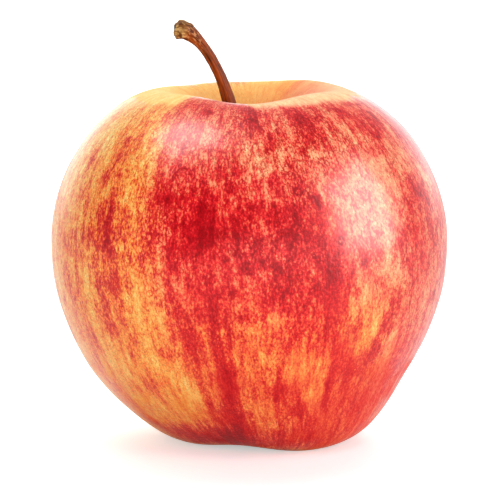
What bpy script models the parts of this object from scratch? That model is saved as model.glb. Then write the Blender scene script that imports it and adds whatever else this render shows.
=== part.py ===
"""An apple as it was picked: one fruit, its stem, and the dried flower left in the basin underneath.

Metres, +Z up. The apple stands on a table at z = 0 with its core on the Z axis and its front facing -Y.
An azimuth is an angle round the core: 0 faces the front (-Y) and 90 faces +X.
A share runs along the skin from 0, the floor of the stem cavity, over the shoulder and down the flank
to 1, the floor of the flower basin.
"""

import math

import bmesh
import bpy
from mathutils import Matrix, Vector

MM = 0.001

# Driving dimensions.
FRUIT_WIDTH = 75.0 * MM
FRUIT_HEIGHT = 67.0 * MM
STEM_THICKNESS = 2.0 * MM
GAP = 0.3 * MM  # between pieces that touch on the real apple

# The skin's outline, from the stem cavity's floor to the flower basin's floor:
# share of the fruit's radius, share of its height, and how strongly the lobes show there.
OUTLINE = [
    (0.000, 0.772, 0.00),
    (0.040, 0.775, 0.00),
    (0.090, 0.800, 0.10),
    (0.170, 0.868, 0.40),
    (0.285, 0.952, 0.80),
    (0.430, 0.994, 1.00),
    (0.600, 0.970, 0.90),
    (0.775, 0.893, 0.60),
    (0.905, 0.787, 0.40),
    (0.978, 0.676, 0.25),
    (1.000, 0.563, 0.20),
    (0.975, 0.428, 0.20),
    (0.880, 0.285, 0.25),
    (0.740, 0.158, 0.40),
    (0.600, 0.069, 0.70),
    (0.480, 0.022, 0.95),
    (0.350, 0.007, 1.00),
    (0.245, 0.030, 0.80),
    (0.170, 0.072, 0.50),
    (0.100, 0.105, 0.20),
    (0.040, 0.117, 0.00),
    (0.000, 0.118, 0.00),
]

# The lobes over the core's chambers: azimuth at the stem end and at the flower end in degrees,
# how far each swells at the two ends, and the power of a cosine that sets how narrow it is.
# The last one is a dip in the front of the shoulder, which runs down between two feet.
LOBES = [
    (-35, -50, 1.0 * MM, 0.9 * MM, 22),
    (54, 26, 1.3 * MM, 1.55 * MM, 10),
    (149, 107, 1.8 * MM, 1.1 * MM, 28),
    (202, 172, 0.9 * MM, 1.5 * MM, 22),
    (266, 243, 0.8 * MM, 1.5 * MM, 22),
    (9, -24, -1.2 * MM, -0.9 * MM, 26),
]
SKIN_BETWEEN_LOBES = -0.75 * MM
FOOT_SHIFT = 2.1 * MM  # the flower end grew a little to one side
FOOT_SHIFT_HEIGHT = 15.0 * MM
FOOT_FLAT_DEPTH = 0.2 * MM  # how much of the lowest foot the table flattens

MERIDIANS = 64
RINGS = 2 * (len(OUTLINE) - 1)
SLOPE_STEP = 0.002  # share to each side of a point over which the outline's direction is read

# The stem's own line, as x, y, z, and how many times STEM_THICKNESS it is across there.
STEM_LINE = [
    (-0.6 * MM, 0.0, 48.5 * MM, 1.35),
    (-0.8 * MM, 0.0, 52.0 * MM, 1.35),
    (-1.7 * MM, 0.0, 56.5 * MM, 1.30),
    (-2.9 * MM, 0.0, 61.0 * MM, 1.30),
    (-4.0 * MM, -0.1 * MM, 65.0 * MM, 1.25),
    (-5.5 * MM, -0.3 * MM, 69.4 * MM, 1.05),
    (-7.2 * MM, -0.6 * MM, 72.8 * MM, 1.00),
    (-9.0 * MM, -0.9 * MM, 75.4 * MM, 1.05),
    (-10.8 * MM, -1.1 * MM, 77.2 * MM, 1.40),
    (-12.2 * MM, -1.2 * MM, 78.1 * MM, 1.75),
    (-13.4 * MM, -1.2 * MM, 78.1 * MM, 1.55),
]
STEM_STEPS = 3  # rings of the stem's tube for each stretch of its line
STEM_BEVEL_RESOLUTION = 4  # 12 sides round the tube
SOCKET_FLOOR = 48.2 * MM
SOCKET_TOP = 56.0 * MM

# The dried flower: five sepals round a short tube that holds the stamens.
SEPALS = 5
SEPAL_THICKNESS = 0.4 * MM
# Distance from the core's axis, height and width, from a sepal's root to its tip.
SEPAL_LINE = [
    (3.1 * MM, 6.8 * MM, 3.0 * MM),
    (2.4 * MM, 5.6 * MM, 2.8 * MM),
    (2.0 * MM, 4.3 * MM, 2.1 * MM),
    (2.3 * MM, 3.1 * MM, 1.7 * MM),
    (3.3 * MM, 2.3 * MM, 1.1 * MM),
    (4.5 * MM, 2.1 * MM, 0.5 * MM),
]
TUBE_RADIUS = 1.6 * MM
TUBE_TOP = 10.5 * MM
STAMENS_TIP = 4.4 * MM
STAMENS_TIP_RADIUS = 0.7 * MM
STAMENS_SIDES = 16
SOCKET_SIDES = 24


def smooth_between(points, share):
    """The point at this share of a smooth curve through all the points, as a list of numbers."""
    stretches = len(points) - 1
    place = min(max(share, 0.0), 1.0) * stretches
    i = min(int(place), stretches - 1)
    u = place - i
    before, start, end, after = (points[min(max(j, 0), stretches)] for j in range(i - 1, i + 3))
    return [
        0.5 * (2 * b + (c - a) * u + (2 * a - 5 * b + 4 * c - d) * u**2 + (3 * b - a - 3 * c + d) * u**3)
        for a, b, c, d in zip(before, start, end, after)
    ]


def outline_at(share):
    """Distance from the core, height and lobe strength. The outline crosses the core square to it."""
    (r1, z1, w1), (r2, z2, w2) = OUTLINE[1], OUTLINE[-2]
    mirrored = [(-r1, z1, w1), *OUTLINE, (-r2, z2, w2)]
    inside = (1 + share * (len(OUTLINE) - 1)) / (len(mirrored) - 1)
    radius, height, strength = smooth_between(mirrored, inside)
    return radius * FRUIT_WIDTH / 2, height * FRUIT_HEIGHT, strength


def lobe_swell(azimuth, share):
    """How far the lobes push the skin out at this azimuth, before the outline's strength."""
    swell = SKIN_BETWEEN_LOBES
    for top, foot, rise, drop, narrowness in LOBES:
        away = azimuth - math.radians(top + (foot - top) * share)
        swell += (rise + (drop - rise) * share) * abs(math.cos(away / 2)) ** narrowness
    return swell


def skin_point(azimuth, share):
    """A point of the fruit's skin. A lobe swells along the outline's own normal."""
    radius, height, strength = outline_at(share)
    r0, z0, _ = outline_at(max(share - SLOPE_STEP, 0.0))
    r1, z1, _ = outline_at(min(share + SLOPE_STEP, 1.0))
    along = Vector((r1 - r0, z1 - z0)).normalized()
    push = strength * lobe_swell(azimuth, share)
    radius = max(radius - along.y * push, 0.0)
    height = height + along.x * push
    low = min(max(1 - height / FOOT_SHIFT_HEIGHT, 0.0), 1.0)
    aside = FOOT_SHIFT * low * low * (3 - 2 * low)
    return Vector((radius * math.sin(azimuth) + aside, -radius * math.cos(azimuth), height))


def clear_scene():
    for obj in list(bpy.data.objects):
        bpy.data.objects.remove(obj)


def collection_named(name):
    made = bpy.data.collections.new(name)
    bpy.context.scene.collection.children.link(made)
    return made


def material_named(name, colour, roughness):
    made = bpy.data.materials.new(name)
    made.use_nodes = True
    shader = made.node_tree.nodes["Principled BSDF"]
    shader.inputs["Base Color"].default_value = (*colour, 1.0)
    shader.inputs["Roughness"].default_value = roughness
    shader.inputs["Metallic"].default_value = 0.0
    return made


def object_from(shape, name, collection, material=None):
    """A new object that holds a bmesh's faces."""
    mesh = bpy.data.meshes.new(name)
    shape.to_mesh(mesh)
    shape.free()
    obj = bpy.data.objects.new(name, mesh)
    collection.objects.link(obj)
    if material:
        mesh.materials.append(material)
    return obj


def cut(obj, cutter):
    """Takes the cutter's shape out of the object."""
    cutter.hide_render = True
    cutter.display_type = "WIRE"
    boolean = obj.modifiers.new("cut_" + cutter.name, "BOOLEAN")
    boolean.operation = "DIFFERENCE"
    boolean.object = cutter


def cylinder(radius, low, high, x=0.0):
    """A round bmesh between two heights."""
    shape = bmesh.new()
    middle = Matrix.Translation((x, 0.0, (low + high) / 2))
    bmesh.ops.create_cone(
        shape,
        cap_ends=True,
        segments=SOCKET_SIDES,
        radius1=radius,
        radius2=radius,
        depth=high - low,
        matrix=middle,
    )
    return shape


def make_fruit(parts, cutters):
    """A round primitive whose rings become rings of the skin, cut for the stem, the flower and the table."""
    shape = bmesh.new()
    bmesh.ops.create_uvsphere(shape, u_segments=MERIDIANS, v_segments=RINGS, radius=1.0)
    for vertex in shape.verts:
        share = math.acos(min(max(vertex.co.z, -1.0), 1.0)) / math.pi
        vertex.co = skin_point(math.atan2(vertex.co.x, -vertex.co.y), share)
    foot = min(vertex.co.z for vertex in shape.verts)
    bmesh.ops.translate(shape, verts=shape.verts, vec=(0.0, 0.0, -foot - FOOT_FLAT_DEPTH))
    fruit = object_from(shape, "fruit", parts, material_named("apple_skin", (0.72, 0.10, 0.05), 0.35))

    root_x, _, _, root_size = STEM_LINE[0]
    socket_radius = STEM_THICKNESS / 2 * root_size + GAP
    socket = cylinder(socket_radius, SOCKET_FLOOR, SOCKET_TOP, root_x)
    cut(fruit, object_from(socket, "stem_socket", cutters))
    tube = cylinder(TUBE_RADIUS, STAMENS_TIP, TUBE_TOP, core_shift())
    cut(fruit, object_from(tube, "flower_tube", cutters))
    table = bmesh.new()
    flat = Matrix.Translation((0.0, 0.0, -FRUIT_WIDTH / 2)) @ Matrix.Scale(FRUIT_WIDTH, 4)
    bmesh.ops.create_cube(table, size=1.0, matrix=flat)
    cut(fruit, object_from(table, "table", cutters))
    fruit.data.shade_smooth()
    return fruit


def make_stem(parts):
    """A tapered tube on a smooth line. Its top flares into the knob that broke off the spur."""
    line = bpy.data.curves.new("stem", "CURVE")
    line.dimensions = "3D"
    line.bevel_depth = STEM_THICKNESS / 2
    line.bevel_resolution = STEM_BEVEL_RESOLUTION
    line.use_fill_caps = True
    rings = STEM_STEPS * (len(STEM_LINE) - 1) + 1
    spline = line.splines.new("POLY")
    spline.points.add(rings - 1)
    for i, point in enumerate(spline.points):
        x, y, z, size = smooth_between(STEM_LINE, i / (rings - 1))
        point.co = (x, y, z, 1.0)
        point.radius = size
    stem = bpy.data.objects.new("stem", line)
    line.materials.append(material_named("stem_bark", (0.20, 0.06, 0.02), 0.5))
    parts.objects.link(stem)
    return stem


def sepal_mesh(material):
    """A leaf-shaped sheet that bends along SEPAL_LINE, on the +X side of the core."""
    shape = bmesh.new()
    last = len(SEPAL_LINE) - 1
    bmesh.ops.create_grid(shape, x_segments=2, y_segments=2 * last, size=1.0)
    for vertex in shape.verts:
        away, height, width = smooth_between(SEPAL_LINE, (vertex.co.y + 1) / 2)
        vertex.co = Vector((away, vertex.co.x * width / 2, height))
    mesh = bpy.data.meshes.new("sepal")
    shape.to_mesh(mesh)
    shape.free()
    mesh.materials.append(material)
    return mesh


def make_sepals(parts):
    """Five equal sepals on one mesh, each turned to its own place round the core."""
    mesh = sepal_mesh(material_named("dried_sepal", (0.16, 0.09, 0.04), 0.8))
    for i in range(SEPALS):
        sepal = bpy.data.objects.new(f"sepal_{i + 1}", mesh)
        sepal.location.x = core_shift()
        sepal.rotation_euler.z = math.tau * i / SEPALS
        parts.objects.link(sepal)
        sheet = sepal.modifiers.new("thickness", "SOLIDIFY")
        sheet.thickness = SEPAL_THICKNESS
        sheet.offset = 0.0


def core_shift():
    """How far the flower basin's floor stands to the side of the Z axis."""
    return skin_point(0.0, 1.0).x


def make_stamens(parts):
    """The withered stamens: one blunt cone that stands in the flower's tube."""
    shape = bmesh.new()
    top = TUBE_TOP - GAP
    bmesh.ops.create_cone(
        shape,
        cap_ends=True,
        segments=STAMENS_SIDES,
        radius1=STAMENS_TIP_RADIUS,
        radius2=TUBE_RADIUS - GAP,
        depth=top - STAMENS_TIP,
        matrix=Matrix.Translation((core_shift(), 0.0, (top + STAMENS_TIP) / 2)),
    )
    return object_from(shape, "stamens", parts, material_named("dried_stamens", (0.08, 0.04, 0.02), 0.9))


clear_scene()
apple = collection_named("apple")
cutters = collection_named("cutters")
make_fruit(apple, cutters)
make_stem(apple)
make_sepals(apple)
make_stamens(apple)
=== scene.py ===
# %% [markdown]
# # One picked apple
#
# A striped dessert apple stands on its own feet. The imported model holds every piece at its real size: the
# fruit, its stem, five dried sepals and the withered stamens between them. This script gives each its fine
# surface and its finish. Lengths are in metres unless a name says mm, +Z is up, and the front faces -Y. An
# azimuth is an angle round the core: 0 faces the front, and 90 faces +X.

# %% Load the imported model
import math
import random

import bpy
import numpy as np
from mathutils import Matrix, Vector, noise


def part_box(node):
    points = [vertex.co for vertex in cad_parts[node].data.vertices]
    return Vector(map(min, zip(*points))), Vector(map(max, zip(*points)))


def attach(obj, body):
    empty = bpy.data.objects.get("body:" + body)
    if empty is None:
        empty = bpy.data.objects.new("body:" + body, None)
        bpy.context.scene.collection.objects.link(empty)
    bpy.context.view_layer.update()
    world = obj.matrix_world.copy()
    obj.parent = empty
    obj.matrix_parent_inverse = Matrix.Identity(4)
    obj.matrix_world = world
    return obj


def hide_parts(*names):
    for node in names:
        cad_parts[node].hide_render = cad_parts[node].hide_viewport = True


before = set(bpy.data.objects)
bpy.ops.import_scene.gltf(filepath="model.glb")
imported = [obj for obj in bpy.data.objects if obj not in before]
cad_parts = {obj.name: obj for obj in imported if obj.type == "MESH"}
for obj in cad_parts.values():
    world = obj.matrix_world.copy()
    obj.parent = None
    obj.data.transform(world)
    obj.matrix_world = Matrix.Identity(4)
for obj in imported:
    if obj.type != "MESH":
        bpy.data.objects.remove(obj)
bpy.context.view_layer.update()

MM = 0.001
random.seed(4)
noise.seed_set(2)
fruit_low, fruit_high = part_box("fruit")
print("fruit box in mm:", [round(x / MM, 1) for x in fruit_high - fruit_low])

# %% [markdown]
# ## The fruit's outline
#
# An apple is a turned shape with a dimple at each end. Half of its section is one smooth line, from the
# floor of the stem cavity, over the shoulder and down the flank, to the floor of the flower basin. It could
# be drawn as a curve and spun, but lobes are easier to add to points on a grid. The CAD fruit uses the same
# line with few points, which is right for physics. Here it is read at many more, so that the outline stays
# smooth from close by. A point on the line is named by its share: 0 at the cavity, 1 at the basin.

# %% The outline, as shares of the radius and the height, and how strongly the lobes show there
FRUIT_WIDTH = 75.0 * MM
FRUIT_HEIGHT = 67.0 * MM
OUTLINE = [
    (0.000, 0.772, 0.00), (0.040, 0.775, 0.00), (0.090, 0.800, 0.10), (0.170, 0.868, 0.40),
    (0.285, 0.952, 0.80), (0.430, 0.994, 1.00), (0.600, 0.970, 0.90), (0.775, 0.893, 0.60),
    (0.905, 0.787, 0.40), (0.978, 0.676, 0.25), (1.000, 0.563, 0.20), (0.975, 0.428, 0.20),
    (0.880, 0.285, 0.25), (0.740, 0.158, 0.40), (0.600, 0.069, 0.70), (0.480, 0.022, 0.95),
    (0.350, 0.007, 1.00), (0.245, 0.030, 0.80), (0.170, 0.072, 0.50), (0.100, 0.105, 0.20),
    (0.040, 0.117, 0.00), (0.000, 0.118, 0.00),
]


def smooth_line(points, shares):
    """Points on a smooth curve through all the given ones, at shares of the way along from 0 to 1."""
    points = np.asarray(points, float)
    stretches = len(points) - 1
    place = np.clip(shares, 0, 1) * stretches
    i = np.minimum(place.astype(int), stretches - 1)
    u = (place - i)[:, None]
    a, b, c, d = (points[np.clip(i + step, 0, stretches)] for step in (-1, 0, 1, 2))
    return 0.5 * (2 * b + (c - a) * u + (2 * a - 5 * b + 4 * c - d) * u**2 + (3 * b - a - 3 * c + d) * u**3)


def outline_at(shares):
    """Distance from the core, height, and lobe strength. The line crosses the core square to it."""
    across = np.array([-1, 1, 1])
    mirrored = np.vstack([OUTLINE[1] * across, OUTLINE, OUTLINE[-2] * across])
    inside = (1 + np.asarray(shares) * (len(OUTLINE) - 1)) / (len(mirrored) - 1)
    radius, height, strength = smooth_line(mirrored, inside).T
    return radius * FRUIT_WIDTH / 2, height * FRUIT_HEIGHT, strength


RINGS = 210
many = np.linspace(0, 1, 2001)
line_radius, line_height, _ = outline_at(many)
line_length = np.concatenate([[0], np.cumsum(np.hypot(np.diff(line_radius), np.diff(line_height)))])
ring_length = np.linspace(0, line_length[-1], RINGS + 1)
ring_share = np.interp(ring_length, line_length, many)
print("from the cavity's floor to the basin's floor in mm:", round(line_length[-1] / MM, 1))

# %% [markdown]
# ## Lobes and relief
#
# The core has five chambers, and the flesh swells over each of them, so an apple is softly five-sided and
# stands on five feet. Each lobe is a narrow hill round the core that turns a little from shoulder to foot.
# It could be sculpted, but a formula keeps the fine skin on the CAD solid. Finer unevenness is noise a few
# millimetres wide, which keeps highlights from looking machined.

# %% Lobes, and last a furrow: azimuth at the stem end and the flower end, swell at each end, narrowness
LOBES = [
    (-35, -50, 1.0 * MM, 0.9 * MM, 22),
    (54, 26, 1.3 * MM, 1.55 * MM, 10),
    (149, 107, 1.8 * MM, 1.1 * MM, 28),
    (202, 172, 0.9 * MM, 1.5 * MM, 22),
    (266, 243, 0.8 * MM, 1.5 * MM, 22),
    (9, -24, -1.2 * MM, -0.9 * MM, 26),
]
SKIN_BETWEEN_LOBES = -0.75 * MM
FOOT_SHIFT = 2.1 * MM
FOOT_SHIFT_HEIGHT = 15.0 * MM
FOOT_FLAT_DEPTH = 0.2 * MM
BASIN_FOLD = 0.22 * MM
CAVITY_FOLD = 0.16 * MM
WAVES = [(11.0 * MM, 0.10 * MM), (4.0 * MM, 0.025 * MM)]  # width and height


def smooth_step(low, high, x):
    """0 below low, 1 above high, and a smooth rise between them. With low above high it falls."""
    u = np.clip((x - low) / (high - low), 0, 1)
    return u * u * (3 - 2 * u)


def skin_points(azimuth, share):
    """The skin over a grid of azimuths and shares, before the fine relief."""
    radius, height, strength = (x[:, None] for x in outline_at(share))
    along = np.gradient(np.hstack([radius, height]), share, axis=0)
    along /= np.hypot(*along.T)[:, None]
    swell = SKIN_BETWEEN_LOBES
    for top, foot, rise, drop, narrowness in LOBES:
        away = azimuth[None, :] - np.radians(top + (foot - top) * share[:, None])
        swell = swell + (rise + (drop - rise) * share[:, None]) * np.abs(np.cos(away / 2)) ** narrowness
    in_basin = smooth_step(0.985, 0.93, share) * smooth_step(0.74, 0.84, share)
    in_cavity = smooth_step(0.02, 0.08, share) * smooth_step(0.24, 0.14, share)
    folds = BASIN_FOLD * np.outer(in_basin, np.cos(10 * azimuth + 0.6 * np.sin(3 * azimuth)))
    folds += CAVITY_FOLD * np.outer(in_cavity, np.cos(7 * azimuth + np.sin(2 * azimuth)))
    push = strength * swell + folds
    radius = np.maximum(radius - along[:, 1:] * push, 0)
    height = height + along[:, :1] * push
    aside = FOOT_SHIFT * smooth_step(0, 1, 1 - height / FOOT_SHIFT_HEIGHT)
    return np.stack([radius * np.sin(azimuth) + aside, -radius * np.cos(azimuth), height], -1)


MERIDIANS = 400
azimuths = np.radians(np.arange(MERIDIANS) * 360 / MERIDIANS)
grid = skin_points(azimuths, ring_share)
grid[..., 2] -= grid[..., 2].min() + FOOT_FLAT_DEPTH
out = np.cross(np.gradient(grid, axis=1), np.gradient(grid, axis=0))
out /= np.linalg.norm(out, axis=-1, keepdims=True) + 1e-12
for width, rise in WAVES:
    waves = np.array([noise.noise(Vector(p) / width) for p in grid.reshape(-1, 3)]).reshape(grid.shape[:2])
    grid += out * (rise * waves)[..., None]
grid[..., 2] = np.maximum(grid[..., 2], 0)
print("fine skin, lowest and highest in mm:", grid.min((0, 1)) / MM, grid.max((0, 1)) / MM)

# %% [markdown]
# ## Where the apple is red
#
# The red is a blush that builds up in stripes over a yellow ground. It is deepest where the sun reached,
# and thin on the shaded side. Noise alone would spread it evenly, so the large flushes are placed one by
# one, and the noise in the material only breaks up their edges. Each is a soft spot given by its azimuth and
# its length along the outline. The stripes lean as they run down the fruit, and the flushes lean with them.

# %% Flushes: azimuth, length along the outline in mm, half width in degrees, half length in mm, change
STRIPE_LEAN = 0.10  # degrees for each mm down the outline
FLUSH_STRENGTH = 0.62
REDS = [
    (-36, 30, 3, 3, 0.20), (-24, 27, 7, 3, 0.12), (-17, 31, 2, 2, 0.15), (1, 30, 3.4, 3.2, 0.36),
    (2, 31, 7, 4, 0.20), (20, 31, 3.6, 3, 0.36), (32, 31, 3, 2.5, 0.20), (-51, 38, 2.5, 2, 0.28),
    (-43, 39, 3, 1.5, 0.20), (-33, 36, 3, 3, 0.12), (-10, 35, 3, 3, 0.20), (0, 36, 3, 3, 0.22),
    (6, 39, 2.5, 2, 0.38), (10, 35, 3, 3, 0.18), (20, 35.5, 3, 2.5, 0.24), (20, 38, 3, 2, 0.20),
    (25, 34, 3.6, 2.5, 0.34), (27, 38, 2.5, 2, 0.35), (37, 39, 2, 1.5, 0.25), (45, 33, 5, 3, 0.16),
    (52, 36, 3.5, 2.5, 0.30), (59, 34, 4, 2.5, 0.35), (73, 38, 5, 7, 0.18), (75, 38, 6, 3, 0.12),
    (-61, 44, 4, 1.8, 0.38), (-50, 47, 1.5, 2.5, 0.30), (-48, 42, 2.5, 3, 0.44), (-22, 43, 3, 2.5, 0.25),
    (-4, 44, 5, 3, 0.20), (11, 44, 2, 2, 0.14), (14, 46, 1.5, 1.5, 0.14), (46, 41, 2.5, 1.5, 0.25),
    (-57, 51, 2, 2, 0.26), (-45, 51, 2, 4, 0.42), (-38, 54, 2, 3, 0.30), (-24, 49, 2.5, 3, 0.45),
    (-15, 53, 4.5, 5, 0.42), (-4, 54, 2.5, 4, 0.30), (5, 51, 4, 3, 0.24), (13, 54, 4, 4.5, 0.40),
    (57, 49, 3, 2.5, 0.22), (62, 49, 4, 2.5, 0.34), (65, 55, 4, 4, 0.12), (-60, 60, 8, 3, 0.18),
    (-54, 56, 2, 3, 0.30), (-45, 57, 4, 3.5, 0.52), (-43, 60, 2.5, 2, 0.20), (-30, 58, 3, 4, 0.14),
    (-25, 58, 20, 14, 0.12), (-20, 58, 5, 4, 0.16), (-11, 57, 3.5, 4, 0.32), (4, 58, 8, 4, 0.15),
    (23, 60, 4, 6, 0.28), (36, 60, 3, 3, 0.20), (53, 60, 4, 5, 0.16), (-65, 67, 4, 6, 0.16),
    (-55, 67, 3, 5, 0.12), (-42, 66, 5, 4, 0.36), (-21, 70, 3, 5, 0.22), (-11, 64, 2, 8, 0.20),
    (5, 67, 16, 9, 0.12), (7, 65, 5, 3, 0.12), (13, 67, 2, 8, 0.18), (25, 69, 3.5, 6, 0.28),
    (46, 71, 3, 3.5, 0.28), (-60, 76, 5, 5, 0.22), (-46, 72, 2.5, 4, 0.26), (-41, 75, 3, 3, 0.16),
    (-40, 77, 4, 5, 0.14), (-18, 76, 3, 4, 0.20), (-12, 73, 3, 7, 0.14), (-8, 79, 3, 9, 0.18),
    (29, 79, 2.5, 5, 0.20), (-60, 85, 4, 4, 0.12), (-35, 85, 4, 2, 0.20), (-27, 80, 2.5, 1.5, 0.22),
    (0, 85, 9, 6, 0.04), (35, 83, 2.5, 3, 0.26), (42, 81, 2.5, 2.5, 0.24), (62, 84, 8, 10, 0.10),
    (-60, 92, 8, 6, 0.26), (-40, 88, 5, 3, 0.10), (-28, 90, 6, 3, 0.08), (-7, 91, 3, 9, 0.30),
    (11, 88, 2, 3, 0.28), (18, 92, 3, 4, 0.36), (29, 88, 2, 4, 0.22), (42, 93, 8, 6, 0.06),
    # The flushes at -32 degrees and 102 mm, -12 degrees and 101 mm, and -25 degrees and 104 mm are painted
    # shade: deeper red that stands in for the shade along the bottom on the front left, where the apple
    # meets the table.
    (45, 92, 8, 7, 0.14), (-50, 99, 8, 3, 0.20), (-32, 102, 14, 4, 0.42), (-13, 97, 5, 5, 0.18),
    (-12, 101, 9, 4, 0.34), (15, 101, 20, 4, 0.10), (25, 98, 3, 5, 0.12), (-25, 104, 30, 5, 0.26),
]
PALES = [
    (28, 31, 8, 3, -0.10), (-68, 34, 10, 5, -0.10), (-38, 38, 5, 7, -0.14), (-36, 38, 4, 4, -0.14),
    (-8, 37, 7, 3.5, -0.05), (-8, 33, 8, 4, -0.12), (5, 36, 5, 2.5, -0.14), (11, 34, 4, 3, -0.12),
    (14, 36, 5, 4, -0.18), (28, 36.5, 5, 3, -0.16), (35, 37, 3, 3, -0.14), (40, 36, 3, 2, -0.10),
    (-70, 45, 6, 4, -0.14), (-65, 40, 8, 5, -0.16), (-57, 41, 4, 4, -0.08), (-31, 41, 4, 6, -0.12),
    (-3, 42, 5, 3, -0.10), (-2, 47, 6, 4, -0.08), (1, 40, 4, 3, -0.08), (3, 42, 3.5, 2.5, -0.25),
    (7, 46, 4, 3, -0.16), (9, 41.5, 2, 1.5, -0.35), (15, 41, 9, 4, -0.10), (30, 44, 6, 4, -0.16),
    (40, 41, 4, 3, -0.14), (40, 40, 5, 4, -0.16), (48, 46, 6, 4, -0.10), (48, 47, 5, 5, -0.12),
    (55, 45, 3.5, 2.5, -0.20), (62, 42, 5, 3, -0.28), (71, 47, 5, 2.5, -0.42), (-41, 49, 3, 2.5, -0.16),
    (-34, 49, 4, 4, -0.08), (28, 54, 1.8, 3, -0.20), (38, 52, 7, 7, -0.20), (-13, 62, 3, 2, -0.14),
    (42, 62, 4, 3.5, -0.26), (-51, 68, 3.5, 5, -0.16), (-33, 71, 5, 6, -0.16), (-25, 66, 2.5, 5, -0.14),
    (-1, 71, 2.5, 6, -0.14), (31, 70, 1.5, 2.5, -0.30), (34, 67, 2, 2, -0.26), (46, 66, 2, 4, -0.24),
    (60, 71, 5, 4, -0.14), (-3, 78, 1.5, 7, -0.20), (6, 73, 3.5, 3, -0.16), (14, 76, 3, 2, -0.10),
    (35, 76, 2, 3, -0.26), (40, 73, 2, 4, -0.34), (48, 77, 2, 5, -0.10), (-48, 83, 4, 6, -0.14),
    (-31, 82, 4, 3, -0.24), (-22, 87, 4, 3, -0.30), (5, 80, 3, 3, -0.18), (15, 82, 4, 3, -0.20),
    (23, 82, 3, 4, -0.08), (3, 93, 4, 5, -0.12), (24, 88, 3, 3, -0.16), (-40, 96, 8, 3, -0.08),
]
CAVITY_REDS = [
    (124, 23, 6, 3, 0.08), (139, 23, 5, 4, 0.18), (150, 21, 3, 4, 0.14), (163, 24, 2, 3, 0.10),
    (215, 24, 4, 3, 0.06),
]
HIDDEN_FLUSHES = 110
print("flushes placed by hand:", len(REDS), "redder and", len(PALES), "paler")


def hidden_flushes(count):
    """Flushes for the sides and the back, drawn at random in the sizes of the front's."""
    made = []
    for _ in range(count):
        azimuth = random.uniform(82, 278)
        length = random.uniform(26, 102)
        half_width = random.uniform(1.8, 4.5)
        half_length = random.uniform(2.5, 9.0)
        change = random.choice((-1, 1)) * random.uniform(0.14, 0.42)
        made.append((azimuth, length, half_width, half_length, change))
    return made


# %% [markdown]
# ## Uneven edges
#
# A flush has no clean outline: its edge wanders by a millimetre or two. Roughening each by itself would be
# slow, so the map of places is bent once. Every point looks a little aside, by noise in two sizes, and all
# that is read there wanders together.

# %% Bend the map of places
EDGE_WARP_DEG = 2.4
EDGE_WARP_MM = 2.0


def noise_field(width, shift=(0, 0, 0)):
    """A noise vector at every point of the grid, with swirls of this width."""
    spots = [Vector(p) / width + Vector(shift) for p in grid.reshape(-1, 3)]
    return np.array([tuple(noise.noise_vector(spot)) for spot in spots]).reshape(*grid.shape)


warp = noise_field(5.0 * MM) + 0.5 * noise_field(2.2 * MM, (7, 0, 0))
grid_azimuth, grid_length = np.meshgrid(np.degrees(azimuths), ring_length / MM)
warped_azimuth = grid_azimuth + EDGE_WARP_DEG * warp[..., 0]
warped_length = grid_length + EDGE_WARP_MM * warp[..., 1]
print("the map bends by up to", round(float(np.abs(warp[..., 1]).max()) * EDGE_WARP_MM, 1), "mm")


def turn_from(azimuth):
    """How many degrees each point of the grid lies round from this azimuth, from -180 to 180."""
    return (warped_azimuth - azimuth + 180) % 360 - 180


def nearness(azimuth, length, half_width, half_length):
    """1 in the middle of a round soft spot, and near 0 outside it."""
    away = (turn_from(azimuth) / half_width) ** 2 + ((warped_length - length) / half_length) ** 2
    return np.exp(-0.7 * away)


# %% [markdown]
# ## The three maps
#
# The material needs three numbers at each point of the skin: how red it is, how grainy the red is, and
# whether it grew in sun or in shade. They could be painted, but a formula can be read and changed. The
# third also says where the skin gets a painted sheen: the sunny side's colours are pinker, partly as the
# skin's own colour and partly as painted sheen that stands in for the soft boxes' broad reflection. The red
# side begins at one leaning edge. A band of bare skin runs round the rim of the cavity, wider over the
# yellow side, and the cavity and the basin stay calm, because little sun gets in.

# %% Where the red side begins, and where the bare rim ends
EDGE_AZIMUTH = -37
EDGE_LEAN = 0.28  # degrees for each mm down the outline
SHOULDER = 28  # mm along the outline
front_edge = turn_from(EDGE_AZIMUTH) - EDGE_LEAN * (warped_length - SHOULDER)
hidden_side = smooth_step(65, 100, np.abs(turn_from(10)))
yellow_side = smooth_step(2, -3, front_edge) * smooth_step(-95, -65, front_edge)
pale_rim = 28.8 - 5.8 * smooth_step(7, -7, turn_from(0)) + 7.5 * yellow_side
pale_rim += 3.0 * hidden_side * np.sin(np.radians(5 * grid_azimuth)) * warp[..., 2]

# %% How red
GROUND_RED = 0.40
SUN_RED = 0.10  # more on the side that faces the sun
SUN_AZIMUTH = 75
EDGE_RED = 0.12  # more along the edge of the red side
RIM_RED = 0.08
CAVITY_RED = 0.31
CAVITY_SHADE = 0.06  # less on the cavity's far left wall
BASIN_RED = 0.30


def blush_map():
    """How red the skin is at each point: 0 is bare ground, 1 is the deepest crimson."""
    red = GROUND_RED + SUN_RED * np.cos(np.radians(turn_from(SUN_AZIMUTH)))
    red += EDGE_RED * smooth_step(-1.5, 2.5, front_edge) * smooth_step(75, 40, front_edge)
    for azimuth, length, half_width, half_length, change in REDS + PALES + hidden_flushes(HIDDEN_FLUSHES):
        down = warped_length - length
        turn = turn_from(azimuth) - STRIPE_LEAN * down
        away = (np.abs(turn) / half_width) ** 2.5 + (np.abs(down) / half_length) ** 2.5
        red += FLUSH_STRENGTH * change * np.exp(-0.7 * away)
    bare = smooth_step(1.2, -2.2 - 5 * hidden_side, warped_length - pale_rim - 3 * hidden_side)
    red = red * (1 - bare) + RIM_RED * bare
    in_cavity = smooth_step(25, 18, grid_length)
    shaded_wall = smooth_step(160, 185, grid_azimuth)
    red = red * (1 - in_cavity) + in_cavity * (CAVITY_RED - CAVITY_SHADE * shaded_wall)
    for *spot, change in CAVITY_REDS:
        red += change * nearness(*spot)
    in_basin = smooth_step(103, 110, grid_length)
    return red * (1 - in_basin) + BASIN_RED * in_basin
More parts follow.
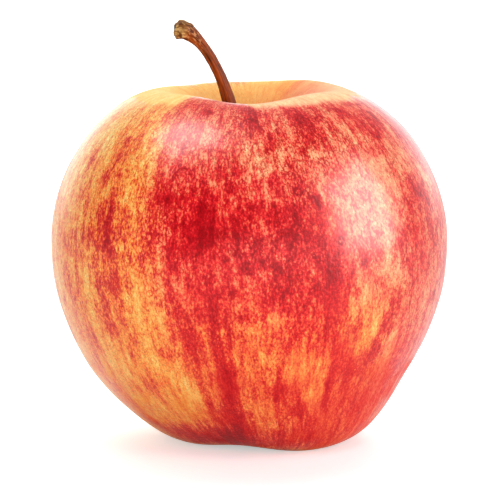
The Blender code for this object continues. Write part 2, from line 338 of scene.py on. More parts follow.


# %% How grainy, and the sunny side, whose pinker colours are partly a painted sheen
GRAIN = 0.62
GRAINY_SPOTS = [
    (-10, 36, 30, 7, 0.35), (18, 42, 12, 8, 0.35), (8, 60, 12, 8, 0.25), (-30, 55, 14, 10, 0.20),
    (45, 92, 30, 12, -0.30), (25, 65, 8, 10, -0.20), (-25, 92, 25, 10, -0.15), (38, 52, 10, 9, 0.10),
]


def speckle_map():
    """How grainy the blush is at each point, from 0 to 1."""
    grain = GRAIN + 0.25 * warp[..., 2] - 0.30 * smooth_step(60, 92, grid_length)
    for *spot, change in GRAINY_SPOTS:
        grain += change * nearness(*spot)
    return np.clip(grain, 0, 1) * smooth_step(-2.5, 1.5, warped_length - pale_rim)


def sun_and_sheen_map():
    """0 on the shaded yellow side, 1 on the sunny side, whose colours also carry a painted sheen."""
    sunny_and_sheen = smooth_step(-6, 8, front_edge) * smooth_step(200, 150, front_edge)
    low_front = smooth_step(60, 76, warped_length) * smooth_step(48, 26, np.abs(turn_from(10)))
    return sunny_and_sheen * (1 - 0.85 * low_front)


blush = blush_map()
speckle = speckle_map()
sun_side_and_sheen = sun_and_sheen_map()
print("blush from", round(float(blush.min()), 2), "to", round(float(blush.max()), 2))
print("speckle from", round(float(speckle.min()), 2), "to", round(float(speckle.max()), 2))

# %% [markdown]
# ## The skin's mesh
#
# The grid becomes rings of four-sided faces, with one point at each end of the core. The material needs to
# know where it is on the skin, so each point also stores its place: a point on a plain cylinder round the
# core, whose height is the length along the outline. An unwrapped map would have a seam, and this has none.
# Stripes drawn there run from stem to flower and close in towards both ends, as on a real apple.


# %% Build the fruit
def store(mesh, name, kind, values):
    """Stores a number or a vector at every point of the mesh."""
    layer = mesh.attributes.new(name, kind, "POINT")
    field = "vector" if kind == "FLOAT_VECTOR" else "value"
    layer.data.foreach_set(field, np.ravel(values).astype(np.float32))


def rings_mesh(name, rings, first, last):
    """A mesh of closed rings, one after another, with a point to close each end."""
    count, around = rings.shape[:2]
    points = [tuple(p) for p in rings.reshape(-1, 3)]
    faces = []
    for i in range(count - 1):
        for j in range(around):
            k = (j + 1) % around
            faces.append((i * around + j, (i + 1) * around + j, (i + 1) * around + k, i * around + k))
    points += [tuple(first), tuple(last)]
    tip, start = count * around, (count - 1) * around
    faces += [(tip, j, (j + 1) % around) for j in range(around)]
    faces += [(tip + 1, start + (j + 1) % around, start + j) for j in range(around)]
    mesh = bpy.data.meshes.new(name)
    mesh.from_pydata(points, [], faces)
    mesh.shade_smooth()
    return mesh


def show(mesh, name, material, node):
    """Puts a mesh in the scene as the piece that stands for a CAD node."""
    piece = bpy.data.objects.new(name, mesh)
    bpy.context.scene.collection.objects.link(piece)
    mesh.materials.append(material)
    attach(piece, "root")
    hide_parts(node)
    return piece


PLACE_RADIUS = FRUIT_WIDTH / 2 / MM
MIDDLE_LENGTH = 60  # mm along the outline, where a leaning stripe has its own azimuth
leaning = np.radians(grid_azimuth - STRIPE_LEAN * (grid_length - MIDDLE_LENGTH))
place = np.stack([PLACE_RADIUS * np.cos(leaning), PLACE_RADIUS * np.sin(leaning), grid_length], -1)
inner = slice(1, RINGS)
skin_mesh = rings_mesh("fruit_skin", grid[inner], grid[0, 0], grid[-1, 0])


def with_ends(values):
    """A grid's values in the mesh's order: the rings, then the point at each end."""
    return np.concatenate([values[inner].reshape(-1, *values.shape[2:]), values[:1, 0], values[-1:, 0]])


store(skin_mesh, "skin_place", "FLOAT_VECTOR", with_ends(place))
store(skin_mesh, "blush", "FLOAT", with_ends(blush))
store(skin_mesh, "speckle", "FLOAT", with_ends(speckle))
store(skin_mesh, "sun_side_and_sheen", "FLOAT", with_ends(sun_side_and_sheen))
print("fruit skin:", len(skin_mesh.polygons), "faces")

# %% [markdown]
# ## Building materials from nodes
#
# Every finish here is made of the same few effects: stripes that are long one way, fine grain, and small
# round pores. Each is a node group with named inputs, so that skin, bark and dried leaf use it with their
# own values. An image could hold them too, but nodes stay sharp at any size. The helpers save typing.


# %% Helpers for nodes
def feed(tree, socket, value):
    """Links a socket to this one, or sets a plain value on it."""
    if isinstance(value, bpy.types.NodeSocket):
        tree.links.new(value, socket)
    else:
        socket.default_value = value


def node(tree, kind, inputs=None, **settings):
    """Adds a shader node with its settings, and feeds its inputs by name."""
    made = tree.nodes.new("ShaderNode" + kind)
    for name, value in settings.items():
        setattr(made, name, value)
    for name, value in (inputs or {}).items():
        feed(tree, made.inputs[name], value)
    return made


def calc(tree, operation, *values, clamp=False):
    """The result of a Math node."""
    made = node(tree, "Math", operation=operation, use_clamp=clamp)
    for socket, value in zip(made.inputs, values):
        feed(tree, socket, value)
    return made.outputs[0]


def ramp_step(tree, value, low, high, start=0.0, end=1.0):
    """A smooth rise from start to end while the value goes from low to high."""
    inputs = {"Value": value, "From Min": low, "From Max": high, "To Min": start, "To Max": end}
    return node(tree, "MapRange", inputs, interpolation_type="SMOOTHSTEP").outputs[0]


def mix_colour(tree, share, first, second, blend="MIX"):
    """One colour over another, by a share from 0 to 1."""
    made = node(tree, "Mix", data_type="RGBA", blend_type=blend)
    feed(tree, made.inputs[0], share)
    feed(tree, made.inputs[6], first)
    feed(tree, made.inputs[7], second)
    return made.outputs[2]


def colour(red, green, blue):
    """A colour given as it looks on a screen, from 0 to 255, as the numbers that light works in."""
    parts = [x / 255 for x in (red, green, blue)]
    return (*[x / 12.92 if x <= 0.04045 else ((x + 0.055) / 1.055) ** 2.4 for x in parts], 1.0)


def new_group(name, inputs, outputs):
    """An empty node group. Inputs and outputs are (name, kind, value to start with)."""
    tree = bpy.data.node_groups.new(name, "ShaderNodeTree")
    for socket_name, kind, value in inputs:
        socket = tree.interface.new_socket(socket_name, in_out="INPUT", socket_type="NodeSocket" + kind)
        if value is not None:
            socket.default_value = value
    for socket_name, kind in outputs:
        tree.interface.new_socket(socket_name, in_out="OUTPUT", socket_type="NodeSocket" + kind)
    return tree, tree.nodes.new("NodeGroupInput").outputs, tree.nodes.new("NodeGroupOutput").inputs


def use(tree, group, **inputs):
    """Places a group in a material and returns its outputs."""
    made = tree.nodes.new("ShaderNodeGroup")
    made.node_tree = group
    for name, value in inputs.items():
        feed(tree, made.inputs[name.replace("_", " ")], value)
    return made.outputs


# %% The stripes group: noise stretched along the third axis, spread to run from about -1 to 1
def make_stripes():
    tree, given, result = new_group(
        "Stripes",
        [
            ("Place", "Vector", None),
            ("Width", "Float", 1.0),
            ("Length", "Float", 10.0),
            ("Shift", "Float", 0.0),
        ],
        [("Stripe", "Float")],
    )
    across = calc(tree, "DIVIDE", 1.0, given["Width"])
    along = calc(tree, "DIVIDE", 1.0, given["Length"])
    scale = node(tree, "CombineXYZ", {"X": across, "Y": across, "Z": along}).outputs[0]
    shift = node(tree, "CombineXYZ", {"X": given["Shift"], "Y": 0.0, "Z": given["Shift"]}).outputs[0]
    where = node(tree, "VectorMath", operation="MULTIPLY_ADD")
    for socket, value in zip(where.inputs, (given["Place"], scale, shift)):
        feed(tree, socket, value)
    inputs = {"Vector": where.outputs[0], "Scale": 1.0, "Detail": 2.0, "Roughness": 0.55}
    value = node(tree, "TexNoise", inputs).outputs[0]
    feed(tree, result["Stripe"], calc(tree, "MULTIPLY", calc(tree, "SUBTRACT", value, 0.5), 5.0))
    return tree


stripes = make_stripes()


def stripe(tree, place, width, length, shift):
    """Places the group with its own values: width and length in mm, and a shift to fresh noise."""
    return use(tree, stripes, Place=place, Width=width, Length=length, Shift=shift)["Stripe"]


# %% The pores group: pale spots of uneven size, and the darker halo round each of them
def make_pores():
    tree, given, result = new_group(
        "Pores",
        [
            ("Place", "Vector", None),
            ("Spacing", "Float", 3.0),
            ("Size", "Float", 0.3),
            ("Share", "Float", 0.6),
        ],
        [("Pore", "Float"), ("Halo", "Float")],
    )
    scale = calc(tree, "DIVIDE", 1.0, given["Spacing"])
    cells = node(tree, "TexVoronoi", {"Vector": given["Place"], "Scale": scale, "Randomness": 1.0})
    luck = node(tree, "SeparateColor", {"Color": cells.outputs["Color"]}).outputs
    distance = calc(tree, "MULTIPLY", cells.outputs["Distance"], given["Spacing"])
    size = calc(tree, "MULTIPLY", given["Size"], calc(tree, "MULTIPLY_ADD", luck[1], 0.9, 0.55))
    spot = ramp_step(tree, distance, size, calc(tree, "MULTIPLY", size, 0.3))
    present = calc(tree, "LESS_THAN", luck[0], given["Share"])
    feed(tree, result["Pore"], calc(tree, "MULTIPLY", spot, present))
    wide = calc(tree, "MULTIPLY", size, calc(tree, "MULTIPLY_ADD", luck[2], 2.2, 2.2))
    ring = ramp_step(tree, distance, wide, calc(tree, "MULTIPLY", size, 1.2))
    feed(tree, result["Halo"], calc(tree, "MULTIPLY", ring, present))
    return tree


pores = make_pores()


def new_material(name):
    """A material with one Principled shader, and its tree."""
    made = bpy.data.materials.new(name)
    made.use_nodes = True
    return made, made.node_tree, made.node_tree.nodes["Principled BSDF"]


def object_place_mm(tree):
    """Where a point is in the apple's own frame, in mm."""
    found = node(tree, "TexCoord").outputs["Object"]
    made = node(tree, "VectorMath", {"Vector": found, "Scale": 1 / MM}, operation="SCALE")
    return made.outputs[0]


print("groups:", [g.name for g in bpy.data.node_groups])

# %% [markdown]
# ## Apple skin
#
# The colour is one scale from bare ground to crimson. What moves a point along it is the blush that was
# placed, plus stripes in three widths and a fine grain, plus a halo round each pore. The scale
# rises steeply in its middle, so the blush breaks up into patches with clear edges. Mixing two flat colours
# by one mask would look printed.

# %% The skin's colours, from bare ground to the deepest red, on the shaded side and on the sunny side, whose pinker tone is partly a painted sheen
SHADE_SCALE = [
    (0.00, 255, 226, 146), (0.16, 254, 198, 104), (0.34, 252, 164, 76), (0.46, 247, 128, 58),
    (0.56, 234, 88, 54), (0.66, 218, 46, 38), (0.82, 190, 14, 24), (1.00, 158, 1, 10),
]
# The sunny side's colours are pinker than the shaded side's, partly as the skin's own colour and partly as
# painted sheen: the pink stands in for part of the soft boxes' broad reflection.
SUN_AND_SHEEN_SCALE = [
    (0.00, 253, 216, 160), (0.12, 252, 186, 134), (0.30, 249, 152, 110), (0.44, 245, 122, 88),
    (0.54, 238, 80, 62), (0.64, 228, 40, 42), (0.80, 194, 9, 24), (1.00, 152, 0, 10),
]


def colour_scale(tree, value, scale):
    """A colour ramp through the given colours."""
    made = node(tree, "ValToRGB", {"Fac": value})
    stops = made.color_ramp.elements
    while len(stops) < len(scale):
        stops.new(0.5)
    for stop, (position, *shade) in zip(stops, scale):
        stop.position = position
        stop.color = colour(*shade)
    return made.outputs["Color"]


print("skin scales:", len(SHADE_SCALE), "and", len(SUN_AND_SHEEN_SCALE), "colours")


# %% How red each point is, from the blush, the stripes and the grain
def skin_redness(tree, spot, base, grainy, lively):
    broad = stripe(tree, spot, 3.4, 30.0, 3.0)
    narrow = stripe(tree, spot, 1.2, 8.0, 9.0)
    patchy = stripe(tree, spot, 1.7, 2.8, 21.0)
    grain = stripe(tree, spot, 0.40, 0.62, 5.0)
    red = calc(tree, "MULTIPLY_ADD", calc(tree, "MULTIPLY", broad, 0.07), lively, base)
    red = calc(tree, "MULTIPLY_ADD", calc(tree, "MULTIPLY", narrow, 0.11), lively, red)
    red = calc(tree, "MULTIPLY_ADD", patchy, calc(tree, "MULTIPLY_ADD", grainy, 0.14, 0.05), red)
    strength = calc(tree, "MULTIPLY_ADD", grainy, 0.20, 0.07)
    return calc(tree, "MULTIPLY_ADD", grain, strength, red), grain


# %% [markdown]
# ### Pores, net and cells
#
# Pores are pale, soft and a little ragged, and on the sunny side each has a redder halo. Over the colour
# lies a net of fine dark lines, where the waxy cells are packed closer. Last comes a slight unevenness of
# brightness, down to the size of cells.


# %% Pores and their halos
def skin_pores(tree, red, grainy, sunny_and_sheen, here):
    ragged = node(tree, "VectorMath", operation="MULTIPLY_ADD")
    jitter = node(tree, "TexNoise", {"Vector": here, "Scale": 0.9, "Detail": 1.0}).outputs["Color"]
    for socket, value in zip(ragged.inputs, (jitter, (1.4, 1.4, 1.4), here)):
        feed(tree, socket, value)
    spots = use(tree, pores, Place=ragged.outputs[0], Spacing=3.9, Size=0.42, Share=0.7)
    halo_strength = calc(tree, "MULTIPLY", sunny_and_sheen, ramp_step(tree, grainy, 0.1, 0.4))
    red = calc(tree, "MULTIPLY_ADD", spots["Halo"], calc(tree, "MULTIPLY", halo_strength, 0.22), red)
    solid = ramp_step(tree, red, 0.45, 0.85, 0.10, 0.42)
    return calc(tree, "SUBTRACT", red, calc(tree, "MULTIPLY", spots["Pore"], solid)), spots["Pore"]


# %% The net of dark lines, and the cells
def skin_colour(tree, red, spot, grainy, sunny_and_sheen, lively, here):
    shade_colour = colour_scale(tree, red, SHADE_SCALE)
    sun_and_sheen_colour = colour_scale(tree, red, SUN_AND_SHEEN_SCALE)
    # On the sunny side this mix brings in the pinker colours, which are partly a painted sheen.
    skin = mix_colour(tree, sunny_and_sheen, shade_colour, sun_and_sheen_colour)
    net = stripe(tree, spot, 0.85, 1.05, 31.0)
    gaps = stripe(tree, spot, 1.3, 1.6, 41.0)
    line = ramp_step(tree, calc(tree, "ABSOLUTE", net), 0.46, 0.08)
    line = calc(tree, "MULTIPLY", line, ramp_step(tree, gaps, -0.5, 0.3))
    line = calc(tree, "MULTIPLY", line, calc(tree, "MULTIPLY", grainy, 0.9))
    dark = mix_colour(tree, sunny_and_sheen, colour(242, 120, 66), colour(204, 68, 72))
    skin = mix_colour(tree, line, skin, mix_colour(tree, 1.0, skin, dark, "MULTIPLY"))
    cells = stripe(tree, here, 0.24, 0.24, 13.0)
    bright = calc(tree, "MULTIPLY_ADD", cells, calc(tree, "MULTIPLY", lively, 0.24), 0.96)
    grey = node(tree, "CombineColor", {"Red": bright, "Green": bright, "Blue": bright}).outputs[0]
    return mix_colour(tree, 1.0, skin, grey, "MULTIPLY")


# %% [markdown]
# ### Wax
#
# A ripe skin is satin underneath with a thin clear wax over it, so the shader has a rough base and a coat.
# Both bend light weakly, so that a wide light doesn't wash the reds out. The wax is rubbed smooth on the
# shoulders and flanks, and stays dull in the cavity, where nothing polishes it.

# %% The skin's material
SKIN_IOR = 1.3
WAX_ROUGHNESS = 0.14


def make_skin():
    material, tree, shader = new_material("apple_skin")
    spot = node(tree, "Attribute", attribute_name="skin_place").outputs["Vector"]
    base = node(tree, "Attribute", attribute_name="blush").outputs["Fac"]
    grainy = node(tree, "Attribute", attribute_name="speckle").outputs["Fac"]
    sunny_and_sheen = node(tree, "Attribute", attribute_name="sun_side_and_sheen").outputs["Fac"]
    here = object_place_mm(tree)
    lively = ramp_step(tree, grainy, 0.0, 0.3, 0.3, 1.0)
    red, grain = skin_redness(tree, spot, base, grainy, lively)
    red, pore = skin_pores(tree, red, grainy, sunny_and_sheen, here)
    skin = skin_colour(tree, red, spot, grainy, sunny_and_sheen, lively, here)
    feed(tree, shader.inputs["Base Color"], skin)
    dull = calc(tree, "MULTIPLY_ADD", lively, -0.5, 0.82)
    feed(tree, shader.inputs["Roughness"], calc(tree, "MULTIPLY_ADD", grain, 0.03, dull))
    shader.inputs["IOR"].default_value = SKIN_IOR
    feed(tree, shader.inputs["Coat Weight"], calc(tree, "MULTIPLY_ADD", lively, 0.4, -0.1))
    shader.inputs["Coat Roughness"].default_value = WAX_ROUGHNESS
    shader.inputs["Coat IOR"].default_value = SKIN_IOR
    peel = stripe(tree, here, 0.7, 0.7, 2.0)
    lift = calc(tree, "MULTIPLY_ADD", pore, 0.6, peel)
    bump = node(tree, "Bump", {"Height": lift, "Strength": 0.5, "Distance": 0.03 * MM})
    feed(tree, shader.inputs["Normal"], bump.outputs[0])
    print("skin nodes:", len(tree.nodes))
    return material


show(skin_mesh, "fruit_skin", make_skin(), "fruit")

# %% [markdown]
# ## The stem
#
# The stem is a thin woody stalk. It leans out of the cavity, and its top flares into the knob where it
# broke off the spur. A curve with a bevel would be a smooth pipe, so its rings are built point by point:
# the radius follows the stalk's taper, and shallow ridges of noise run along it, as the dried fibres do.
# The knob's rings close in towards its end face, and lumps of noise roughen them.

# %% Build the stem on the CAD stem's own line
STEM_THICKNESS = 2.0 * MM
STEM_LINE = [
    (-0.6 * MM, 0.0, 48.5 * MM, 1.35),
    (-0.8 * MM, 0.0, 52.0 * MM, 1.35),
    (-1.7 * MM, 0.0, 56.5 * MM, 1.30),
    (-2.9 * MM, 0.0, 61.0 * MM, 1.30),
    (-4.0 * MM, -0.1 * MM, 65.0 * MM, 1.25),
    (-5.5 * MM, -0.3 * MM, 69.4 * MM, 1.05),
    (-7.2 * MM, -0.6 * MM, 72.8 * MM, 1.00),
    (-9.0 * MM, -0.9 * MM, 75.4 * MM, 1.05),
    (-10.8 * MM, -1.1 * MM, 77.2 * MM, 1.40),
    (-12.2 * MM, -1.2 * MM, 78.1 * MM, 1.75),
    (-13.4 * MM, -1.2 * MM, 78.1 * MM, 1.55),
]
STEM_RINGS = 150
STEM_SIDES = 64
RIDGE = 0.10  # of the radius
KNOB_ROUNDING = [  # each ring's share of the last radius, and how far it lies past the end
    (0.96, 0.30 * MM),
    (0.84, 0.60 * MM),
    (0.66, 0.75 * MM),
    (0.44, 0.60 * MM),
    (0.22, 0.50 * MM),
]
KNOB_LUMP = 0.9 * MM
KNOB_ROUGHNESS = 0.36 * MM
SCAR_STEP = 0.3  # mm along the bark's place for each ring of the scar


def tube_rings(line, radii, sides, ripple=None):
    """Rings of points round a line. A ripple changes the radius by angle and place."""
    ways = np.gradient(line, axis=0)
    ways /= np.linalg.norm(ways, axis=1, keepdims=True)
    side = np.cross(ways, (0.0, 1.0, 0.0))
    side /= np.linalg.norm(side, axis=1, keepdims=True)
    front = np.cross(ways, side)
    turn = np.arange(sides) * 2 * math.pi / sides
    scale = radii[:, None] * (1 if ripple is None else ripple)
    spokes = side[:, None] * np.cos(turn)[:, None] + front[:, None] * np.sin(turn)[:, None]
    return line[:, None] + spokes * scale[..., None]


def make_stem_mesh():
    curve = smooth_line(STEM_LINE, np.linspace(0, 1, STEM_RINGS))
    line, radii = curve[:, :3], curve[:, 3] * STEM_THICKNESS / 2
    length = np.concatenate([[0], np.cumsum(np.linalg.norm(np.diff(line, axis=0), axis=1))]) / MM
    turn = np.arange(STEM_SIDES) * 2 * math.pi / STEM_SIDES
    ripple = np.ones((STEM_RINGS, STEM_SIDES))
    bark_place = np.zeros((STEM_RINGS, STEM_SIDES, 3))
    for i in range(STEM_RINGS):
        for j in range(STEM_SIDES):
            spot = Vector((math.cos(turn[j]), math.sin(turn[j]), length[i] / 9))
            ripple[i, j] += RIDGE * noise.noise(spot * 2.2)
            ripple[i, j] += 0.4 * RIDGE * noise.noise(spot * Vector((5, 5, 9)))
            bark_place[i, j] = (1.2 * math.cos(turn[j]), 1.2 * math.sin(turn[j]), length[i])
    rings = tube_rings(line, radii, STEM_SIDES, ripple)
    way = (line[-1] - line[-2]) / np.linalg.norm(line[-1] - line[-2])
    edge = rings[-1]
    hub = edge.mean(0)
    rings, places = list(rings), list(bark_place)
    for k, (share, past) in enumerate(KNOB_ROUNDING):
        rings.append(hub + (edge - hub) * share + way * past)
        places.append(bark_place[-1] + [0, 0, SCAR_STEP * (k + 1)])
    rings = np.array(rings)
    near_end = smooth_step(length[-1] - 3.5, length[-1] - 0.5, np.array([p[0, 2] for p in places]))
    for i, j in np.ndindex(rings.shape[:2]):
        lump = noise.noise_vector(Vector(rings[i, j]) / KNOB_LUMP)
        rings[i, j] += np.array(lump) * KNOB_ROUGHNESS * near_end[i]
    mesh = rings_mesh("stem_bark", rings[::-1], rings[-1].mean(0), line[0])
    place = np.array(places)[::-1]
    ends = [[0, 0, place[0, 0, 2] + SCAR_STEP], [0, 0, 0]]
    store(mesh, "bark_place", "FLOAT_VECTOR", np.concatenate([place.reshape(-1, 3), ends]))
    return mesh, length[-1]


stem_mesh, stem_length_mm = make_stem_mesh()
print("stem length in mm:", round(stem_length_mm, 1))

# %% [markdown]
# ## Bark
#
# The stem is reddish brown, with darker fibres that run along it. Tan flecks and pores gather near the
# knob, and the knob itself is a crust of light and dark corky patches round a dark pit. The stripes group
# gives the fibres and flecks, and the pores group the spots, so the bark needs no effect of its own.

# %% The bark's material
BARK_IOR = 1.2


def make_bark():
    material, tree, shader = new_material("stem_bark")
    spot = node(tree, "Attribute", attribute_name="bark_place").outputs["Vector"]
    here = object_place_mm(tree)
    fibre = stripe(tree, spot, 0.32, 5.0, 4.0)
    patch = stripe(tree, spot, 1.0, 3.0, 8.0)
    along = node(tree, "SeparateXYZ", {"Vector": spot}).outputs["Z"]
    fibrous = calc(tree, "MULTIPLY_ADD", fibre, 0.36, 0.44)
    pale = calc(tree, "MULTIPLY_ADD", patch, 0.2, fibrous, clamp=True)
    brown = mix_colour(tree, pale, colour(52, 13, 0), colour(172, 74, 14))
    near_knob = ramp_step(tree, along, stem_length_mm - 8.0, stem_length_mm - 2.5)
    fleck = stripe(tree, spot, 0.3, 0.9, 17.0)
    fleck = calc(tree, "MULTIPLY", ramp_step(tree, fleck, 0.15, 0.6), near_knob)
    pore = use(tree, pores, Place=here, Spacing=1.6, Size=0.28, Share=0.6)["Pore"]
    fleck = calc(tree, "MAXIMUM", fleck, calc(tree, "MULTIPLY", pore, near_knob))
    brown = mix_colour(tree, calc(tree, "MULTIPLY", fleck, 0.8), brown, colour(206, 140, 84))
    blotch = stripe(tree, here, 1.1, 1.1, 3.0)
    knob = ramp_step(tree, along, stem_length_mm - 2.6, stem_length_mm - 0.6)
    light_patch = ramp_step(tree, blotch, -0.3, 0.5)
    crust = mix_colour(tree, light_patch, colour(66, 34, 12), colour(206, 166, 98))
    crust = mix_colour(tree, ramp_step(tree, fibre, 0.6, -0.6), crust, colour(120, 70, 28))
    brown = mix_colour(tree, calc(tree, "MULTIPLY", knob, 0.85), brown, crust)
    pit = ramp_step(tree, along, stem_length_mm + 0.5, stem_length_mm + 1.1)
    feed(tree, shader.inputs["Base Color"], mix_colour(tree, pit, brown, colour(54, 46, 24)))
    feed(tree, shader.inputs["Roughness"], calc(tree, "MULTIPLY_ADD", fibre, 0.06, 0.55))
    shader.inputs["IOR"].default_value = BARK_IOR
    bump = node(tree, "Bump", {"Height": fibre, "Strength": 0.8, "Distance": 0.06 * MM})
    feed(tree, shader.inputs["Normal"], bump.outputs[0])
    print("bark nodes:", len(tree.nodes))
    return material


show(stem_mesh, "stem_bark", make_bark(), "stem")

# %% [markdown]
# ## The dried flower
#
# The basin under the fruit keeps what is left of the blossom: five sepals that dried and curled, and the
# stamens between them. Each sepal is a thin leaf, cupped across and rolled back at its tip. It could be a
# bent plane, but a grid of points gives it a wavy edge and a crinkled face. They hide under the fruit, but
# the part is seen from below too.

# %% Build the sepals: the middle line's distance from the core, its height, and the leaf's width
SEPALS = 5
SEPAL_ROWS = 30
SEPAL_COLUMNS = 12
SEPAL_THICKNESS = 0.25 * MM
SEPAL_LINE = [
    (3.1 * MM, 6.8 * MM, 3.0 * MM),
    (2.4 * MM, 5.6 * MM, 2.8 * MM),
    (2.0 * MM, 4.3 * MM, 2.1 * MM),
    (2.3 * MM, 3.1 * MM, 1.7 * MM),
    (3.3 * MM, 2.3 * MM, 1.1 * MM),
    (4.5 * MM, 2.1 * MM, 0.5 * MM),
]
core_x = float(skin_points(np.zeros(1), np.array([0.99, 1.0]))[-1, 0, 0])


def make_sepal_mesh(number):
    """A curled leaf with a wavy edge, turned to its place round the core."""
    rows, columns = SEPAL_ROWS, SEPAL_COLUMNS
    turn = 2 * math.pi * number / SEPALS
    line = smooth_line(SEPAL_LINE, np.linspace(0, 1, rows + 1))
    points, faces, leaf = [], [], []
    for i, (away, height, width) in enumerate(line):
        for j in range(columns + 1):
            side = 2 * j / columns - 1
            spot = Vector((i / 6, side * 1.5, 5.0 * number))
            cup = 0.30 * MM * side * side
            crinkle = 0.16 * MM * noise.noise(spot)
            out = away + crinkle - cup + 0.10 * MM * side * math.sin(i * 0.7 + number)
            across = side * width / 2 * (1 + 0.12 * noise.noise(spot * 2))
            low = height + 0.10 * MM * noise.noise(spot + Vector((0, 0, 9)))
            x = core_x + out * math.cos(turn) - across * math.sin(turn)
            points.append((x, out * math.sin(turn) + across * math.cos(turn), low))
            leaf.append((across / MM, number * 3.0, i / rows * 8))
    for i in range(rows):
        for j in range(columns):
            k = i * (columns + 1) + j
            faces.append((k, k + 1, k + columns + 2, k + columns + 1))
    mesh = bpy.data.meshes.new(f"dried_sepal_{number + 1}")
    mesh.from_pydata(points, [], faces)
    mesh.shade_smooth()
    store(mesh, "leaf_place", "FLOAT_VECTOR", leaf)
    return mesh


# %% The dried finish, for the sepals and the stamens
def make_dried(name, dark, light):
    """A dry, fuzzy brown with fine veins along it."""
    material, tree, shader = new_material(name)
    spot = node(tree, "Attribute", attribute_name="leaf_place").outputs["Vector"]
    vein = stripe(tree, spot, 0.28, 4.0, 1.0)
    fuzz = stripe(tree, object_place_mm(tree), 0.18, 0.18, 6.0)
    fuzzy = calc(tree, "MULTIPLY_ADD", fuzz, 0.2, 0.45)
    share = calc(tree, "MULTIPLY_ADD", vein, 0.3, fuzzy, clamp=True)
    feed(tree, shader.inputs["Base Color"], mix_colour(tree, share, dark, light))
    feed(tree, shader.inputs["Roughness"], calc(tree, "MULTIPLY_ADD", fuzz, 0.05, 0.85))
    lift = calc(tree, "ADD", vein, fuzz)
    bump = node(tree, "Bump", {"Height": lift, "Strength": 0.7, "Distance": 0.06 * MM})
    feed(tree, shader.inputs["Normal"], bump.outputs[0])
    return material


sepal_finish = make_dried("dried_sepal", colour(52, 34, 22), colour(138, 104, 70))
for number in range(SEPALS):
    mesh = make_sepal_mesh(number)
    sepal = show(mesh, f"dried_sepal_{number + 1}", sepal_finish, f"sepal_{number + 1}")
    sheet = sepal.modifiers.new("thickness", "SOLIDIFY")
    sheet.thickness = SEPAL_THICKNESS
    sheet.offset = 0.0
print("sepals:", SEPALS)

# %% [markdown]
# ## The stamens
#
# Between the sepals stand the stamens, sixteen fine threads that withered and lean together, each with a
# small dried head. Hair would be quick to make, but isn't a solid mesh, so each thread is a tube on its own
# bent line, and all are joined in one piece.

# %% Build the stamens
THREADS = 16
THREAD_RADIUS = 0.13 * MM
THREAD_RINGS = 14
THREAD_SIDES = 8
THREAD_TURN = 2.4  # radians from one thread to the next, which spreads them evenly
THREAD_TOP = 8.4 * MM


def make_stamens_mesh():
    points, faces, leaf = [], [], []
    for number in range(THREADS):
        turn = number * THREAD_TURN
        root = 0.35 * MM + 0.75 * MM * (number / THREADS) ** 0.5
        top = Vector((core_x + root * math.cos(turn), root * math.sin(turn), THREAD_TOP))
        lean = Vector((random.uniform(-1, 1), random.uniform(-1, 1), 0)) * 0.5 * MM
        tip = Vector((core_x, 0, random.uniform(4.5, 5.6) * MM)) + lean
        steps = np.linspace(0, 1, THREAD_RINGS)[:, None]
        bend = np.sin(steps * math.pi) * np.array(lean) * 0.6
        line = np.array(top) * (1 - steps) + np.array(tip) * steps + bend
        head = 1.3 * smooth_step(0.86, 0.95, steps[:, 0]) - 0.5 * smooth_step(0.96, 1.0, steps[:, 0])
        rings = tube_rings(line, THREAD_RADIUS * (1 + head), THREAD_SIDES)[::-1]
        thread = rings_mesh("thread", rings, line[-1], line[0])
        start = len(points)
        points += [tuple(v.co) for v in thread.vertices]
        faces += [tuple(start + i for i in face.vertices) for face in thread.polygons]
        leaf += [(number, 0.0, v.co.z / MM) for v in thread.vertices]
        bpy.data.meshes.remove(thread)
    mesh = bpy.data.meshes.new("dried_stamens")
    mesh.from_pydata(points, [], faces)
    mesh.shade_smooth()
    store(mesh, "leaf_place", "FLOAT_VECTOR", leaf)
    return mesh


stamens_finish = make_dried("dried_stamens", colour(34, 22, 14), colour(104, 74, 46))
show(make_stamens_mesh(), "dried_stamens", stamens_finish, "stamens")
print("stamen threads:", THREADS)

# %% [markdown]
# ## The table
#
# The apple stands on a plain white table. It glows a little by itself, as a sheet lit from below does, so
# it looks almost white and the apple still throws a faint shadow on it. The light that it throws back up is
# a softer grey, which keeps the red of the underside deep.

# %% The table
TABLE_SIZE = 12.0
TABLE_GLOW = 0.45


def make_table():
    half = TABLE_SIZE / 2
    mesh = bpy.data.meshes.new("table")
    corners = [(-half, -half, 0), (half, -half, 0), (half, half, 0), (-half, half, 0)]
    mesh.from_pydata(corners, [], [(0, 1, 2, 3)])
    material, tree, shader = new_material("white_table")
    path = node(tree, "LightPath").outputs
    white = mix_colour(tree, path["Is Diffuse Ray"], colour(249, 249, 249), colour(206, 205, 204))
    feed(tree, shader.inputs["Base Color"], white)
    shader.inputs["Emission Color"].default_value = (1, 1, 1, 1)
    feed(tree, shader.inputs["Emission Strength"], calc(tree, "MULTIPLY", path["Is Camera Ray"], TABLE_GLOW))
    shader.inputs["Roughness"].default_value = 0.7
    shader.inputs["Specular IOR Level"].default_value = 0.2
    mesh.materials.append(material)
    table = bpy.data.objects.new("table", mesh)
    bpy.context.scene.collection.objects.link(table)
    print("table side in m:", TABLE_SIZE)


make_table()

# %% [markdown]
# ## The room
#
# The room is white behind the apple and dark on the camera's side, so the edges catch light and the deep
# reds in front keep their depth. Matt surfaces see a soft version of it, and glossy ones a sharper one,
# which makes the bright line round the edge thin. One even white world would be simpler, but it greys every
# dark colour.


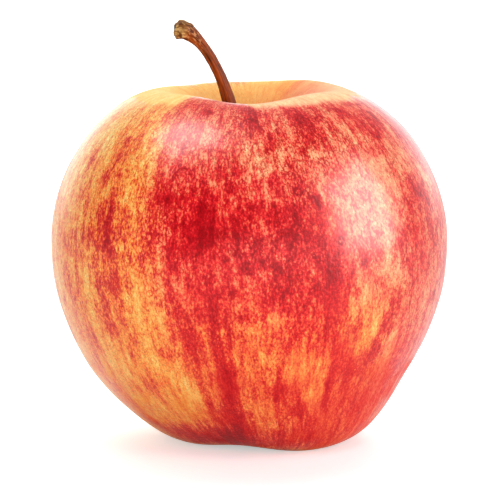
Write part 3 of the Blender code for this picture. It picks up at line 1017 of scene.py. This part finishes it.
# %% The room: white behind, dark in front
def make_room():
    world = bpy.data.worlds.new("studio")
    bpy.context.scene.world = world
    world.use_nodes = True
    tree = world.node_tree
    way = node(tree, "SeparateXYZ", {"Vector": node(tree, "TexCoord").outputs["Generated"]}).outputs
    path = node(tree, "LightPath").outputs
    soft = ramp_step(tree, way["Y"], -0.1, 0.6, 0.03, 1.15)
    sharp = ramp_step(tree, way["Y"], 0.25, 0.95, 0.02, 2.2)
    sharp = calc(tree, "MULTIPLY", sharp, ramp_step(tree, way["Z"], 0.1, 0.5, 1.0, 0.3))
    more = calc(tree, "SUBTRACT", sharp, soft)
    light = calc(tree, "MULTIPLY_ADD", more, path["Is Glossy Ray"], soft)
    light = calc(tree, "MAXIMUM", light, path["Is Camera Ray"])
    feed(tree, tree.nodes["Background"].inputs["Strength"], light)
    tree.nodes["Background"].inputs["Color"].default_value = (1, 1, 1, 1)
    print("room nodes:", len(tree.nodes))


make_room()

# %% [markdown]
# ## Soft boxes
#
# A tall soft box on the right makes the long highlight, and a small one high on the left makes the pale
# patch on that shoulder. Each is two lamps in one place: one is seen only in reflections, and the other
# only lights the colours, so highlight and brightness can be set apart.


# %% The soft boxes: azimuth, elevation, width, height, shine, glow, distance
def soft_box(name, azimuth, elevation, width, height, shine, glow, distance=0.9):
    """Two area lights in one place: one makes the highlight, and one lights the colours."""
    a, e = math.radians(azimuth), math.radians(elevation)
    way = Vector((math.sin(a) * math.cos(e), -math.cos(a) * math.cos(e), math.sin(e)))
    for part, radiance in (("shine", shine), ("glow", glow)):
        if not radiance:
            continue
        light = bpy.data.lights.new(f"{name}_{part}", "AREA")
        light.shape = "RECTANGLE"
        light.size = width
        light.size_y = height
        light.energy = radiance * math.pi * width * height
        lamp = bpy.data.objects.new(f"{name}_{part}", light)
        lamp.location = Vector((0, 0, FRUIT_HEIGHT / 2)) + way * distance
        lamp.rotation_euler = way.to_track_quat("Z", "Y").to_euler()
        lamp.visible_camera = False
        lamp.visible_diffuse = part == "glow"
        lamp.visible_glossy = part == "shine"
        bpy.context.scene.collection.objects.link(lamp)


soft_box("right_box", 71, 20, 0.62, 0.80, 16.0, 3.3)
soft_box("left_box", -92, 68, 0.44, 0.42, 14.0, 1.2)
soft_box("left_fill", -66, 5, 0.7, 0.6, 0.8, 3.5)
soft_box("front_fill", 16, 2, 1.1, 0.4, 0.0, 6.8)
soft_box("top_fill", 18, 46, 0.5, 0.4, 0.0, 2.6)
soft_box("overhead", 180, 58, 2.6, 1.8, 0.0, 2.5, 2.2)
print("lamps:", sorted(lamp.name for lamp in bpy.data.lights))

# %% [markdown]
# ## The camera
#
# The camera looks a little down on the apple from the front, near enough that the far rim sits clearly
# higher than the near one. Its lens follows from its distance and from the width that it should see there.

# %% The camera
SENSOR_WIDTH = 36.0  # mm
VIEW_ELEVATION = 7.5
VIEW_DISTANCE = 0.65
VIEW_WIDTH = 95.2 * MM
LOOK_AT = Vector((0.2 * MM, 0.0, 36.5 * MM))


def make_camera():
    camera = bpy.data.cameras.new("camera")
    camera.sensor_width = SENSOR_WIDTH
    camera.lens = SENSOR_WIDTH * VIEW_DISTANCE / VIEW_WIDTH
    holder = bpy.data.objects.new("camera", camera)
    e = math.radians(VIEW_ELEVATION)
    way = Vector((0, -math.cos(e), math.sin(e)))
    holder.location = LOOK_AT + way * VIEW_DISTANCE
    holder.rotation_euler = way.to_track_quat("Z", "Y").to_euler()
    bpy.context.scene.collection.objects.link(holder)
    bpy.context.scene.camera = holder
    print("lens in mm:", round(camera.lens))


make_camera()
bpy.context.scene.view_settings.view_transform = "Standard"
